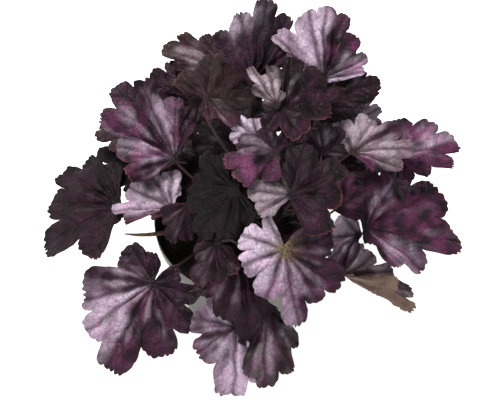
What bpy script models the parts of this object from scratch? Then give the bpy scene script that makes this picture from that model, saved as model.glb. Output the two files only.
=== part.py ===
"""Heuchera plant (coral bells) growing in its thin two-litre nursery pot.

Metres, +Z up, the plant's front toward -Y. The origin is the centre of the
pot's flat underside. Sizes below are in millimetres and become metres when
each mesh is made.
"""
import math

import bmesh
import bpy
import numpy as np
from mathutils import Vector
from mathutils.bvhtree import BVHTree

MM = 0.001

# Pot
POT_HEIGHT = 136.0
RIM_RADIUS = 85.0
BASE_RADIUS = 62.0
POT_WALL = 1.2
BASE_THICK = 2.0
LIP_HEIGHT = 13.0
LIP_STEP = 3.5
POT_SIDES = 36
DRAIN_HOLES = 6
DRAIN_RADIUS = 5.0
DRAIN_CIRCLE = 50.0

# Potting soil and crown
GAP = 0.4
SOIL_TOP = 117.0
SOIL_DOME = 4.0
SOIL_SIDES = POT_SIDES
CROWN_RADIUS = 22.0
CROWN_DEPTH = 14.0
CROWN_TOP = 131.0

# Leaf stalks
STALK_BASE_RADIUS = 1.7
STALK_TIP_RADIUS = 1.2
STALK_SIDES = 5
STALK_STEPS = 6
STALK_ROOM = 0.9
BLADE_GAP = 0.35

# Blades
BLADE_THICK = 0.7
SINUS_RADIUS = 4.0
HUB_RADIUS = 16.0
TOOTH = 0.06
PLEAT = 3.2
LOBE_BLUNT = 4
CUT_SLOPE, CUT_MOST = 0.36, 0.27
CUP = 0.04
INNER_RING, MIDDLE_RING = 0.34, 0.68
RIM_STOPS = (-0.64, -0.34, 0.0, 0.34, 0.64, 1.0)
MIDDLE_STOPS = (0.0, 1.0)
INNER_STOPS = (0.0,)
TOOTH_STOP = 0.34

# Leaves lie in layers, like shingles seen from the front and above
LAYER_RISE = math.radians(58.0)
LAYER_GAP = 3.4
LAYER_SLOPE = 0.30
LAYER_PASSES = 8

# One row a leaf, lowest layer first: name, tint, joint with the stalk, point of
# the middle lobe, arch, ruffle, turn of a folded-over near half (degrees), and
# each lobe's direction from the middle line (degrees) with its reach (mm). A
# third number is how far out the cut after that lobe lies, as a share.
LEAVES = (
    # low leaves round the back
    ("leaf_01", "dark", (-80, 70, 148), (-128, 94, 130), 6, 3, 0,
     ((-125, 28), (-84, 40), (-42, 50), (0, 57), (42, 50), (84, 40), (125, 28))),
    ("leaf_02", "dark", (2, 108, 142), (2, 172, 122), 6, 3, 0,
     ((-125, 34), (-84, 47), (-42, 59), (0, 67), (42, 59), (84, 47), (125, 34))),
    ("leaf_03", "dark", (-46, 94, 150), (-86, 140, 130), 6, 3, 0,
     ((-125, 32), (-84, 45), (-42, 56), (0, 64), (42, 56), (84, 45), (125, 32))),
    ("leaf_04", "dark", (54, 98, 152), (90, 148, 132), 6, 3, 0,
     ((-125, 32), (-84, 45), (-42, 57), (0, 65), (42, 57), (84, 45), (125, 32))),
    ("leaf_05", "dark", (92, 48, 154), (142, 70, 132), 6, 3, 0,
     ((-125, 29), (-84, 41), (-42, 52), (0, 59), (42, 52), (84, 41), (125, 29))),
    # skirt
    ("leaf_06", "silver", (-82, -82, 152), (-124, -149, 114), 4, 3, 0,
     ((-151, 32), (-117, 46), (-50, 74), (-27, 80), (-1, 92), (37, 70), (72, 58), (102, 47), (144, 29))),
    ("leaf_07", "silver", (-4, -128, 152), (-5, -180, 112), 5, 4, 0,
     ((-153, 42), (-101, 43), (-55, 45), (0, 69), (26, 57), (57, 38), (89, 21))),
    ("leaf_08", "dark", (24, -108, 161), (24, -175, 122), 5, 3, 0,
     ((-32, 45), (-14, 71), (-1, 80), (21, 68), (38, 49), (53, 26))),
    ("leaf_09", "young", (97, -76, 158), (163, -108, 140), 4, 3, 125,
     ((-45, 12), (-27, 54), (0, 75), (20, 71), (38, 52), (62, 40), (92, 38))),
    ("leaf_10", "dark", (-89, 42, 161), (-142, 65, 156), 5, 3, 0,
     ((-83, 25), (-43, 37), (-24, 52), (-2, 60), (20, 50), (50, 43), (79, 36))),
    ("leaf_11", "dark", (-118, -6, 166), (-188, -4, 142), 5, 3, 0,
     ((-79, 55), (-59, 79), (-41, 88), (-16, 80), (18, 86), (63, 58), (106, 18))),
    ("leaf_12", "young", (-97, 78, 178), (-141, 82, 180), 5, 3, 0,
     ((-90, 30), (-56, 41), (-29, 41), (-3, 44), (19, 45), (48, 39), (83, 29))),
    ("leaf_13", "silver", (119, -35, 176), (209, -34, 152), 5, 4, 0,
     ((-82, 20), (-50, 51), (-32, 67), (-1, 97, 0.82), (37, 100, 0.86), (61, 89), (87, 66))),
    ("leaf_14", "silver", (112, -38, 168), (82, -34, 151), 3, 3, 0,
     ((-52, 39), (-8, 40), (38, 38), (61, 42))),
    ("leaf_15", "silver", (151, 43, 178), (214, 63, 176), 4, 3, 0,
     ((-85, 28), (-42, 36), (-24, 57), (4, 69), (31, 60), (62, 51), (92, 40))),
    ("leaf_16", "silver", (104, 76, 181), (136, 95, 196), 4, 3, 0,
     ((-56, 15), (-28, 34), (-6, 38), (27, 45), (44, 43), (68, 32))),
    # inside the mound and behind it
    ("leaf_17", "dark", (-10, 116, 178), (-12, 170, 162), 6, 3, 0,
     ((-120, 38), (-80, 46), (-42, 50), (0, 56), (42, 50), (84, 39), (125, 28))),
    ("leaf_18", "dark", (52, 112, 184), (66, 164, 168), 6, 3, 0,
     ((-125, 28), (-84, 39), (-42, 49), (0, 56), (42, 49), (84, 39), (125, 28))),
    ("leaf_43", "dark", (-37, 34, 168), (-69, 64, 158), 4, 3, 0,
     ((-105, 38), (-70, 50), (-35, 52), (0, 50), (40, 47), (85, 42))),
    ("leaf_44", "dark", (46, 30, 172), (62, 62, 170), 4, 3, 0,
     ((-95, 34), (-50, 41), (-10, 43), (32, 43), (75, 38))),
    ("leaf_45", "dark", (44, -24, 158), (80, -46, 145), 4, 3, 0,
     ((-85, 38), (-37, 42), (0, 45), (37, 47), (72, 49), (108, 40))),
    ("leaf_46", "dark", (-12, -30, 158), (-22, -62, 142), 4, 3, 0,
     ((-90, 28), (-45, 33), (0, 37), (42, 39), (88, 34))),
    ("leaf_19", "dark", (0, -27, 186), (-33, -44, 176), 4, 3, 0,
     ((-57, 40), (-19, 44), (18, 48), (52, 44), (95, 38))),
    ("leaf_20", "dark", (-44, 102, 186), (-88, 123, 208), 4, 3, 0,
     ((-80, 29), (-52, 42), (-32, 52), (0, 56), (23, 51), (49, 43), (88, 29))),
    ("leaf_21", "dark", (86, 28, 188), (101, 58, 196), 4, 3, 0,
     ((-75, 34), (-37, 35), (4, 34), (47, 31), (97, 25))),
    ("leaf_22", "dark", (-8, 41, 194), (-39, 66, 196), 4, 3, 0,
     ((-77, 39), (-38, 45), (-10, 48), (23, 40), (60, 33), (114, 25))),
    # middle layer
    ("leaf_23", "silver", (-65, -25, 196), (-121, -13, 180), 4, 3, 0,
     ((-77, 44), (-50, 49), (-26, 58), (3, 60), (18, 48), (38, 22))),
    ("leaf_24", "dark", (-49, -24, 198), (-66, -47, 174), 4, 3, 0,
     ((-38, 31), (-2, 40), (26, 32), (62, 29))),
    ("leaf_25", "young", (-17, 132, 198), (-76, 152, 214), 4, 3, 0,
     ((-80, 27), (-45, 47), (-23, 60), (0, 65), (15, 48), (33, 35), (81, 18))),
    ("leaf_26", "dark", (79, 83, 208), (136, 103, 220), 4, 3, 0,
     ((-104, 25), (-65, 31), (-35, 42), (3, 63), (23, 57), (46, 41))),
    ("leaf_27", "dark", (91, -28, 200), (105, 2, 212), 4, 3, 0,
     ((-81, 25), (-32, 29), (4, 37), (29, 29), (66, 24))),
    ("leaf_28", "silver", (-62, 23, 208), (-113, 86, 236), 5, 4, 0,
     ((-61, 41), (-38, 65), (-14, 86), (1, 89), (23, 80), (45, 56), (77, 51))),
    ("leaf_29", "young", (107, 34, 202), (152, 61, 208), 4, 4, 0,
     ((-72, 29), (-53, 52), (-30, 59), (3, 55), (30, 42), (80, 38))),
    ("leaf_30", "silver", (78, 30, 208), (78, 57, 222), 3, 3, 0,
     ((-86, 22), (-44, 29), (0, 31), (36, 23), (78, 26))),
    ("leaf_31", "silver", (11, 95, 228), (19, 161, 271), 5, 4, 0,
     ((-77, 31), (-41, 52), (-22, 76), (-4, 84), (15, 70), (43, 61), (63, 39))),
    ("leaf_32", "silver", (80, 106, 221), (84, 164, 258), 5, 4, 0,
     ((-77, 41), (-60, 49), (-32, 54), (-15, 67), (0, 71), (16, 69), (53, 65), (63, 41))),
    # top of the mound
    ("leaf_33", "dark", (0, -78, 208), (6, -144, 168), 5, 3, 0,
     ((-82, 36), (-47, 55), (-16, 66), (1, 79), (15, 67), (38, 44), (70, 27))),
    ("leaf_47", "dark", (30, -50, 200), (62, -58, 204), 4, 3, 0,
     ((-95, 24), (-50, 31), (-8, 35), (35, 33), (80, 28))),
    ("leaf_34", "dark", (-21, -74, 216), (-39, -100, 190), 4, 3, 0,
     ((-79, 14), (-32, 28), (-1, 45), (28, 39), (63, 33))),
    ("leaf_35", "silver", (40, -88, 226), (51, -144, 190), 5, 4, 0,
     ((-161, 34), (-119, 43), (-80, 42), (-32, 46), (2, 70), (26, 59), (46, 64), (97, 47))),
    ("leaf_36", "dark", (-4, -26, 228), (-46, -15, 222), 4, 3, 0,
     ((-64, 47), (-41, 52), (-7, 48), (31, 49), (66, 56), (96, 52), (128, 39))),
    ("leaf_37", "dark", (46, -41, 244), (60, 4, 256), 4, 4, 0,
     ((-117, 52), (-76, 45), (-44, 58), (0, 51), (52, 38), (102, 41), (135, 35))),
    ("leaf_38", "silver", (16, 27, 236), (-6, 37, 244), 3, 3, 0,
     ((-57, 22), (-10, 29), (35, 26))),
    ("leaf_39", "silver", (32, 4, 248), (-2, 13, 250), 4, 3, 0,
     ((-106, 26), (-56, 27), (0, 37), (26, 49), (58, 48), (97, 32))),
    ("leaf_40", "dark", (40, 51, 250), (98, 76, 248), 5, 4, 0,
     ((-155, 27), (-86, 37), (-19, 48), (-3, 64), (28, 60), (58, 66), (78, 55))),
    ("leaf_41", "young", (34, 51, 256), (14, 80, 268), 3, 2, 0,
     ((-55, 14), (-20, 32), (0, 46), (22, 28), (60, 14))),
    ("leaf_42", "young", (-31, 65, 248), (9, 74, 244), 4, 4, 0,
     ((-116, 16), (-95, 29), (-61, 41), (-4, 43), (42, 50), (73, 54), (124, 39))),
)

# The withered stalk leaves the crown and lies over the rim on the left
WITHERED_ROUTE = ((-25.5, -6, 123.0), (-45, -11, 130), (-66, -16, 136.5), (-82, -19.6, 138.8),
                  (-88, -20.6, 138.9), (-100, -21, 139.2), (-113, -20, 139))
WITHERED_RADIUS = (2.0, 2.2, 2.3, 2.4, 2.4, 1.9, 0.8)

TINTS = {
    "silver": ((0.30, 0.20, 0.28), 0.42),
    "dark": ((0.035, 0.024, 0.032), 0.45),
    "young": ((0.12, 0.075, 0.07), 0.5),
    "pot": ((0.12, 0.115, 0.09), 0.55),
    "soil": ((0.02, 0.015, 0.012), 0.95),
    "stalk": ((0.22, 0.08, 0.09), 0.5),
    "withered": ((0.20, 0.12, 0.06), 0.8),
}


def clear_scene():
    for obj in list(bpy.data.objects):
        bpy.data.objects.remove(obj, do_unlink=True)


def tinted(name):
    """The named material, made on first use."""
    mat = bpy.data.materials.get(name)
    if mat is None:
        mat = bpy.data.materials.new(name)
        mat.use_nodes = True
        shader = mat.node_tree.nodes["Principled BSDF"]
        colour, rough = TINTS[name]
        shader.inputs["Base Color"].default_value = (*colour, 1.0)
        shader.inputs["Roughness"].default_value = rough
        mat.diffuse_color = (*colour, 1.0)
    return mat


def add_object(name, points, faces, tint):
    """Object from millimetre points, with triangulated faces turned outward."""
    mesh = bpy.data.meshes.new(name)
    bm = bmesh.new()
    verts = [bm.verts.new([float(c) * MM for c in p]) for p in points]
    for face in faces:
        bm.faces.new([verts[i] for i in face])
    bmesh.ops.triangulate(bm, faces=bm.faces[:])
    bmesh.ops.recalc_face_normals(bm, faces=bm.faces[:])
    bm.to_mesh(mesh)
    bm.free()
    mesh.materials.append(tinted(tint))
    obj = bpy.data.objects.new(name, mesh)
    bpy.context.scene.collection.objects.link(obj)
    return obj


def combine(target, other, operation, solver="MANIFOLD"):
    """Boolean of two objects, kept in the first; the second is removed."""
    step = target.modifiers.new("combine", "BOOLEAN")
    step.operation = operation
    step.solver = solver
    step.object = other
    graph = bpy.context.evaluated_depsgraph_get()
    mesh = bpy.data.meshes.new_from_object(target.evaluated_get(graph))
    target.modifiers.clear()
    target.data = mesh
    bpy.data.objects.remove(other, do_unlink=True)


def turned(name, profile, sides, tint, bump=None):
    """Closed solid of revolution; a profile point with radius 0 is a pole."""
    points, rows = [], []
    for radius, height in profile:
        if radius == 0:
            rows.append([len(points)] * sides)
            points.append((0.0, 0.0, height))
            continue
        rows.append(list(range(len(points), len(points) + sides)))
        for i in range(sides):
            a = 2 * math.pi * i / sides
            lift = bump(radius, height, a) if bump else 0.0
            points.append((radius * math.cos(a), radius * math.sin(a), height + lift))
    faces = []
    for low, high in zip(rows, rows[1:]):
        for i in range(sides):
            j = (i + 1) % sides
            corners = [low[i], low[j], high[j], high[i]]
            corners = [c for n, c in enumerate(corners) if c not in corners[:n]]
            if len(corners) > 2:
                faces.append(corners)
    return add_object(name, points, faces, tint)


def wall_radius(height):
    """Outside radius of the pot's plain wall."""
    share = height / (POT_HEIGHT - LIP_HEIGHT)
    return BASE_RADIUS + share * (RIM_RADIUS - LIP_STEP - 1.0 - BASE_RADIUS)


def make_pot():
    step = POT_HEIGHT - LIP_HEIGHT
    outside = [(0, 0), (BASE_RADIUS, 0), (wall_radius(step), step),
               (RIM_RADIUS - 1.0, step + 0.8), (RIM_RADIUS, POT_HEIGHT - 0.8),
               (RIM_RADIUS - 0.4, POT_HEIGHT)]
    inside = [(RIM_RADIUS - POT_WALL, POT_HEIGHT), (RIM_RADIUS - 1.0 - POT_WALL, step + 2.2),
              (wall_radius(step) - POT_WALL, step + 1.2),
              (wall_radius(BASE_THICK) - POT_WALL, BASE_THICK), (0, BASE_THICK)]
    pot = turned("pot", outside + inside, POT_SIDES, "pot")
    for i in range(DRAIN_HOLES):
        a = 2 * math.pi * (i + 0.5) / DRAIN_HOLES
        x, y = DRAIN_CIRCLE * math.cos(a), DRAIN_CIRCLE * math.sin(a)
        ring = [(x + DRAIN_RADIUS * math.cos(b), y + DRAIN_RADIUS * math.sin(b))
                for b in (2 * math.pi * k / 12 for k in range(12))]
        points = [(u, v, -2.0) for u, v in ring] + [(u, v, 4.0) for u, v in ring]
        faces = [list(range(12)), list(range(12, 24))]
        faces += [[k, (k + 1) % 12, 12 + (k + 1) % 12, 12 + k] for k in range(12)]
        combine(pot, add_object("drain", points, faces, "pot"), "DIFFERENCE")
    return pot


def soil_bump(radius, height, angle):
    """Lumps of the potting mix, on its top only."""
    if height < SOIL_TOP - 1 or radius < CROWN_RADIUS + 4:
        return 0.0
    return 1.3 * math.sin(radius * 0.31 + 3 * angle) * math.cos(radius * 0.17 - 5 * angle)


def make_soil():
    bottom = BASE_THICK + GAP
    hole = CROWN_RADIUS + GAP
    edge = wall_radius(SOIL_TOP) - POT_WALL - GAP - 0.3
    profile = [(0, bottom), (wall_radius(bottom) - POT_WALL - GAP - 0.3, bottom), (edge, SOIL_TOP - 2)]
    for share in (0.82, 0.62, 0.42):
        profile.append((hole + (edge - hole) * share, SOIL_TOP + SOIL_DOME * (1 - share)))
    profile += [(hole, SOIL_TOP + SOIL_DOME), (hole, SOIL_TOP - CROWN_DEPTH - GAP),
                (0, SOIL_TOP - CROWN_DEPTH - GAP)]
    return turned("soil", profile, SOIL_SIDES, "soil", soil_bump)


def lobe_layout(lobes):
    """Lobe directions, and direction and reach of the cuts round them (radians, mm)."""
    at = [math.radians(lobe[0]) for lobe in lobes]
    first = max(-math.pi + 0.1, at[0] - 0.62 * (at[1] - at[0]))
    last = min(math.pi - 0.1, at[-1] + 0.62 * (at[-1] - at[-2]))
    cuts, reach = [first], [0.6 * lobes[0][1]]
    for i in range(len(lobes) - 1):
        near, far = lobes[i][1], lobes[i + 1][1]
        mean = 2 * near * far / (near + far)
        apart = math.hypot(near - far, mean * (at[i + 1] - at[i]))
        share = lobes[i][2] if len(lobes[i]) > 2 else 1 - min(CUT_MOST, CUT_SLOPE * apart / mean)
        cuts.append((at[i] + at[i + 1]) / 2)
        reach.append(share * mean)
    return at, cuts + [last], reach + [0.6 * lobes[-1][1]]


def blade_ring(lobes, share, stops):
    """Directions, radii and place across the lobe for one ring of blade points."""
    at, cuts, reach = lobe_layout(lobes)
    ring = [(cuts[0], reach[0], -1.0)]
    for k, lobe in enumerate(lobes):
        for u in stops:
            side = cuts[k] if u < 0 else cuts[k + 1]
            cut = reach[k] if u < 0 else reach[k + 1]
            radius = cut + (lobe[1] - cut) * (1 - abs(u) ** LOBE_BLUNT)
            if share == 1.0 and abs(u) == TOOTH_STOP:
                radius *= 1 - TOOTH
            ring.append((at[k] + abs(u) * (side - at[k]), radius, u))
    if stops[-1] != 1.0:
        ring.append((cuts[-1], reach[-1], 1.0))
    ring.append((math.pi, SINUS_RADIUS, 1.0))
    angle, radius, across = (np.array(column) for column in zip(*ring))
    if share < 1.0:
        away = (angle[:, None] - angle[None, :] + math.pi) % (2 * math.pi) - math.pi
        blend = np.exp(-(away / (0.5 * (1.2 - share))) ** 2)
        blend[:, -1] = blend[-1, :] = 0
        blend[-1, -1] = 1
        radius = blend @ radius / blend.sum(axis=1)
    return angle, radius * share, across


def band(angle_in, angle_out, first_in, first_out):
    """Triangles between two rings that start and end at the same directions."""
    n, m, i, j, faces = len(angle_in), len(angle_out), 0, 0, []
    while i < n or j < m:
        next_in = angle_in[i + 1] if i + 1 < n else angle_in[0] + 2 * math.pi
        next_out = angle_out[j + 1] if j + 1 < m else angle_out[0] + 2 * math.pi
        if j < m and (i >= n or next_out <= next_in):
            faces.append((first_in + i % n, first_out + j % m, first_out + (j + 1) % m))
            j += 1
        else:
            faces.append((first_in + i % n, first_out + j % m, first_in + (i + 1) % n))
            i += 1
    return faces


def blade_net(lobes):
    """Direction, radius, place across the lobe and ring share of a blade's points."""
    shares = (INNER_RING, MIDDLE_RING, 1.0)
    rings = [blade_ring(lobes, s, stops)
             for s, stops in zip(shares, (INNER_STOPS, MIDDLE_STOPS, RIM_STOPS))]
    angle, radius, across = (np.concatenate([[0.0]] + [ring[c] for ring in rings]) for c in range(3))
    share = np.concatenate([[0.0]] + [np.full(len(ring[0]), s) for ring, s in zip(rings, shares)])
    starts = np.cumsum([1] + [len(ring[0]) for ring in rings])
    n = len(rings[0][0])
    faces = [(0, 1 + i, 1 + (i + 1) % n) for i in range(n)]
    for a, b, first_a, first_b in zip(rings, rings[1:], starts, starts[1:]):
        faces += band(a[0], b[0], first_a, first_b)
    return angle, radius, across, share, np.array(faces)


def blade_form(angle, radius, across, share, length, arch, ruffle, flap, phase):
    """Points of a blade's middle surface in its own frame: x along the middle lobe."""
    x, y = radius * np.cos(angle), radius * np.sin(angle)
    along = x / length
    z = -arch * along ** 2 - CUP * y * y / length
    hub = np.clip(radius / HUB_RADIUS, 0, 1) ** 2
    edge = hub * np.clip((share - 0.25) / 0.75, 0, 1) ** 1.5
    z += ruffle * edge * (0.6 * np.sin(5 * angle + phase) + 0.5 * np.sin(9 * angle + 2.3 * phase))
    pleat = PLEAT * (1 + 0.6 * np.sin(2.2 * angle + 3.1 * phase))
    z += pleat * hub * np.sin(math.pi * share ** 0.8) * np.abs(across) ** 1.3
    if flap:
        over, turn = np.sqrt(y * y + 9.0) - 3.0, math.radians(flap)
        z = np.where(y < 0, z * math.cos(turn) + over * math.sin(turn), z)
        y = np.where(y < 0, -over * math.cos(turn), y)
    return np.stack([x, y, z], axis=1)


def blade_axes(joint, tip):
    """Unit axes of a blade: along the middle lobe, to its left, and up through it."""
    along = (tip - joint) / np.linalg.norm(tip - joint)
    up = np.array([0.0, 0.0, 1.0]) - along[2] * along
    up /= np.linalg.norm(up)
    return np.stack([along, np.cross(up, along), up])


LAYER_AXES = np.array([[1.0, 0.0, 0.0],
                       [0.0, math.sin(LAYER_RISE), math.cos(LAYER_RISE)],
                       [0.0, -math.cos(LAYER_RISE), math.sin(LAYER_RISE)]])


def height_over(points, triangles):
    """Pairs (point, triangle) that line up in the layer direction, with weights and drop.

    All in layer axes; the drop is the triangle's height less the point's.
    """
    a, b, c = triangles[:, 0], triangles[:, 1], triangles[:, 2]
    ab, ac = b - a, c - a
    area = ab[:, 0] * ac[:, 1] - ab[:, 1] * ac[:, 0]
    area = np.where(np.abs(area) < 1e-6, np.inf, area)
    dx = points[:, None, 0] - a[None, :, 0]
    dy = points[:, None, 1] - a[None, :, 1]
    wb = (dx * ac[:, 1] - dy * ac[:, 0]) / area
    wc = (ab[:, 0] * dy - ab[:, 1] * dx) / area
    p, t = np.nonzero((wb >= 0) & (wc >= 0) & (wb + wc <= 1))
    wb, wc = wb[p, t], wc[p, t]
    height = a[t, 2] + wb * ab[t, 2] + wc * ac[t, 2]
    return p, t, height - points[p, 2]


def sample(points, faces):
    """Corners, side middles and centres of a net."""
    tri = points[faces]
    return np.concatenate([points, (tri + np.roll(tri, 1, axis=1)).reshape(-1, 3) / 2, tri.mean(axis=1)])


def settle(points, faces, below):
    """Lift a blade until it lies over the layers below it; returns the moved points."""
    own = points @ LAYER_AXES.T
    if not below:
        return points, 0.0
    old_tri = np.concatenate([p[f] for p, f in below])
    old_pts = np.concatenate([sample(p, f) for p, f in below])
    lift = np.zeros(len(own))
    for _ in range(LAYER_PASSES):
        now = own + np.outer(lift, (0, 0, 1))
        marks = sample(now, faces)
        p, _, drop = height_over(marks, old_tri)
        spots, needs = marks[p], drop + LAYER_GAP
        p, _, drop = height_over(old_pts, now[faces])
        spots = np.concatenate([spots, old_pts[p]])
        needs = np.concatenate([needs, LAYER_GAP - drop])
        short = needs > 0.02
        if not short.any():
            break
        away = np.hypot(now[:, None, 0] - spots[None, short, 0], now[:, None, 1] - spots[None, short, 1])
        more = (needs[short][None, :] * 1.02 - LAYER_SLOPE * np.maximum(away - 6.0, 0)).max(axis=1)
        lift += np.maximum(more, 0)
    return (own + np.outer(lift, (0, 0, 1))) @ LAYER_AXES, float(lift.max())


def point_normals(points, faces):
    tri = points[faces]
    flat = np.cross(tri[:, 1] - tri[:, 0], tri[:, 2] - tri[:, 0])
    normals = np.zeros_like(points)
    for corner in range(3):
        np.add.at(normals, faces[:, corner], flat)
    return normals / np.linalg.norm(normals, axis=1)[:, None]


def lay_leaves():
    """Settled middle surfaces of all blades, lowest layer first."""
    blades, below = [], []
    for index, (name, tint, joint, tip, arch, ruffle, flap, lobes) in enumerate(LEAVES):
        joint, tip = np.array(joint, float), np.array(tip, float)
        angle, radius, across, share, faces = blade_net(lobes)
        length = np.linalg.norm(tip - joint)
        form = blade_form(angle, radius, across, share, length, arch, ruffle, flap, 1.7 * index)
        points = joint + form @ blade_axes(joint, tip)
        points, lift = settle(points, faces, below)
        below.append((points @ LAYER_AXES.T, faces))
        blades.append((name, tint, points, faces, share))
    return blades


def blade_solid(points, faces, share):
    """Closed solid of even thickness round a blade's middle surface."""
    half = point_normals(points, faces) * (BLADE_THICK / 2)
    n = len(points)
    rim = np.nonzero(share == 1.0)[0]
    shell = [tuple(f) for f in faces] + [(a + n, c + n, b + n) for a, b, c in faces]
    for i, j in zip(rim, np.roll(rim, -1)):
        shell += [(i, i + n, j + n), (i, j + n, j)]
    return np.concatenate([points + half, points - half]), shell


def tube(route, radii, sides, last_plane=None):
    """Closed tube along a route; the last ring can lie in a given plane."""
    route = [Vector(p) for p in route]
    points, faces = [], []
    side = None
    for i, here in enumerate(route):
        ahead = route[min(i + 1, len(route) - 1)] - route[max(i - 1, 0)]
        ahead.normalize()
        if side is None:
            side = ahead.orthogonal().normalized()
        side = (side - ahead * side.dot(ahead)).normalized()
        if last_plane is not None and i == len(route) - 1:
            flat = Vector(last_plane)
            side = (side - flat * side.dot(flat)).normalized()
            across = flat.cross(side)
        else:
            across = ahead.cross(side)
        for k in range(sides):
            a = 2 * math.pi * k / sides
            points.append(here + radii[i] * (math.cos(a) * side + math.sin(a) * across))
    for i in range(len(route) - 1):
        for k in range(sides):
            j = (k + 1) % sides
            faces.append((i * sides + k, i * sides + j, (i + 1) * sides + j, (i + 1) * sides + k))
    faces.append(tuple(range(sides)))
    faces.append(tuple(range(len(points) - sides, len(points))))
    return points, faces


def bezier(corners, steps):
    """Points of a Bezier curve with any number of corners."""
    points = []
    for i in range(steps + 1):
        t, row = i / steps, [Vector(c) for c in corners]
        while len(row) > 1:
            row = [a.lerp(b, t) for a, b in zip(row, row[1:])]
        points.append(row[0])
    return points


def stalk_end(joint, normal, own):
    """Centre of the stalk's last ring: as near under the blade as its edge allows."""
    side = normal.orthogonal().normalized()
    other = normal.cross(side)
    drop = BLADE_THICK / 2 + BLADE_GAP
    for _ in range(6):
        end = joint - normal * drop
        edge = [end + STALK_TIP_RADIUS * (math.cos(a) * side + math.sin(a) * other)
                for a in (math.pi * k / 8 for k in range(16))]
        short = BLADE_GAP - min(own.find_nearest(p)[3] for p in edge)
        if short <= 0.01:
            break
        drop += short + 0.01
    return end


def stalk_route(end, normal, along, index, surroundings, own):
    """Clearest route found from the crown to just under a blade."""
    rng = np.random.default_rng(index + 1)
    heading = math.atan2(end.y, end.x)
    best, best_score = None, -1e9
    for attempt in range(1400):
        spin = rng.normal(0, 0.1 + 0.5 * min(1, attempt / 200))
        start_radius = rng.uniform(4, CROWN_RADIUS - 4)
        start = Vector((start_radius * math.cos(heading + spin),
                        start_radius * math.sin(heading + spin), CROWN_TOP - 12))
        lean = rng.uniform(0.0, 0.5 + 0.5 * min(1, attempt / 200))
        first = start + Vector((lean * math.cos(heading + spin), lean * math.sin(heading + spin), 1.0)
                               ).normalized() * rng.uniform(15, 60)
        back = (-normal - along * rng.uniform(-0.2, 0.9)).normalized()
        wobble = Vector(rng.normal(0, 3 + 22 * min(1, attempt / 300), 3))
        reach = (end - start).length
        middle = start.lerp(end, 0.55) + wobble
        last = end + back * rng.uniform(0.15, 0.45) * reach
        route = bezier((start, first, middle, last, end), STALK_STEPS)
        spots = [a.lerp(b, k / 12) for a, b in zip(route, route[1:]) for k in range(12)] + [end]
        room = 1e9
        for i, spot in enumerate(spots[7:]):
            share = (i + 7) / (len(spots) - 1)
            thick = STALK_BASE_RADIUS + share * (STALK_TIP_RADIUS - STALK_BASE_RADIUS)
            room = min(room, surroundings.find_nearest(spot)[3] - thick)
            if (end - spot).length > 4:
                room = min(room, own.find_nearest(spot)[3] - thick)
            if room < best_score:
                break
        bend = sum(((c - b) - (b - a)).length for a, b, c in zip(route, route[1:], route[2:]))
        score = min(room, STALK_ROOM + 0.6) - 0.004 * bend
        if score > best_score:
            best, best_score, best_room = (start, first, middle, last, end), score, room
        if best_score > STALK_ROOM + 0.3 and attempt > 60:
            break
    return best, best_room


def make_crown(blades, obstacles):
    """Crown of the plant with every living leaf's stalk grown out of it."""
    profile = [(0, SOIL_TOP - CROWN_DEPTH), (CROWN_RADIUS, SOIL_TOP - CROWN_DEPTH),
               (CROWN_RADIUS, SOIL_TOP + 5), (CROWN_RADIUS * 0.86, CROWN_TOP - 5),
               (CROWN_RADIUS * 0.5, CROWN_TOP - 1), (0, CROWN_TOP)]
    crown = turned("crown_and_stalks", profile, 14, "stalk")
    trees = []
    for _, _, points, faces, share in blades:
        solid, shell = blade_solid(points, faces, share)
        trees.append((solid, shell))
    for index, (name, _, points, faces, _) in enumerate(blades):
        normal = point_normals(points, faces)[0]
        along = blade_axes(points[0], points[0] + 10 * (np.array(LEAVES[index][3], float)
                                                        - np.array(LEAVES[index][2], float)))[0]
        verts, polys = [], []
        for other, (solid, shell) in enumerate(trees):
            if other != index:
                polys += [[v + len(verts) for v in f] for f in shell]
                verts += [Vector(p) for p in solid]
        for obj in obstacles:
            polys += [[v + len(verts) for v in p.vertices] for p in obj.data.polygons]
            verts += [v.co / MM for v in obj.data.vertices]
        around = BVHTree.FromPolygons(verts, polys)
        own = BVHTree.FromPolygons([Vector(p) for p in trees[index][0]], [list(f) for f in trees[index][1]])
        end = stalk_end(Vector(points[0]), Vector(normal), own)
        corners, room = stalk_route(end, Vector(normal), Vector(along), index, around, own)
        if room < 0.3:
            print("tight stalk", name, round(room, 2))
        route = bezier(corners, STALK_STEPS)
        radii = [STALK_BASE_RADIUS + i / STALK_STEPS * (STALK_TIP_RADIUS - STALK_BASE_RADIUS)
                 for i in range(STALK_STEPS + 1)]
        shape = tube(route, radii, STALK_SIDES, normal)
        combine(crown, add_object("stalk", *shape, "stalk"), "UNION")
    return crown


def make_withered():
    return add_object("withered_stalk", *tube(WITHERED_ROUTE, WITHERED_RADIUS, 6), "withered")


def main():
    clear_scene()
    pot, soil, withered = make_pot(), make_soil(), make_withered()
    blades = lay_leaves()
    for name, tint, points, faces, share in blades:
        add_object(name, *blade_solid(points, faces, share), tint)
    make_crown(blades, (pot, soil, withered))


main()
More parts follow.
